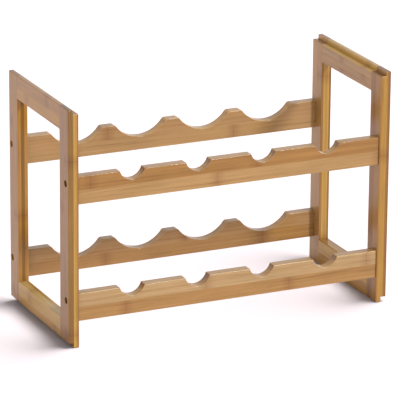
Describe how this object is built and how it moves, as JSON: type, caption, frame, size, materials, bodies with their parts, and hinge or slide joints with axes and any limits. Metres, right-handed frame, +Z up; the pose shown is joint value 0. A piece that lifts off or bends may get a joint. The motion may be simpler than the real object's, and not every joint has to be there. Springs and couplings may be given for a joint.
{
  "type": "stackable wine rack",
  "caption": "Stackable bamboo wine rack: open end frames joined by tiers of slats, notched in front for bottle necks and scalloped behind for bottle bodies.",
  "frame": {"origin": "on the floor, under the middle of the rack's width and depth", "axes": "+X along the slats to the right, +Y from the neck notches to the back, +Z up"},
  "size_m": [0.47, 0.207, 0.328],
  "materials": {
    "frame_bamboo": "clear satin varnish over caramel bamboo",
    "slat_bamboo": "clear satin varnish over caramel bamboo",
    "dowel_beech": "plain turned beech",
    "screw_steel": "dark zinc plate"
  },
  "bodies": {
    "root": {"left_front_stile": "frame_bamboo", "left_rear_stile": "frame_bamboo", "left_top_rail": "frame_bamboo", "left_bottom_rail": "frame_bamboo", "right_front_stile": "frame_bamboo", "right_rear_stile": "frame_bamboo", "right_top_rail": "frame_bamboo", "right_bottom_rail": "frame_bamboo", "upper_front_slat": "slat_bamboo", "upper_rear_slat": "slat_bamboo", "lower_front_slat": "slat_bamboo", "lower_rear_slat": "slat_bamboo", "left_top_front_dowels": "dowel_beech", "left_top_rear_dowels": "dowel_beech", "left_bottom_front_dowels": "dowel_beech", "left_bottom_rear_dowels": "dowel_beech", "right_top_front_dowels": "dowel_beech", "right_top_rear_dowels": "dowel_beech", "right_bottom_front_dowels": "dowel_beech", "right_bottom_rear_dowels": "dowel_beech", "upper_front_slat_dowels": "dowel_beech", "upper_rear_slat_dowels": "dowel_beech", "lower_front_slat_dowels": "dowel_beech", "lower_rear_slat_dowels": "dowel_beech", "upper_front_screws": "screw_steel", "upper_rear_screws": "screw_steel", "lower_front_screws": "screw_steel", "lower_rear_screws": "screw_steel"}
  },
  "joints": []
}
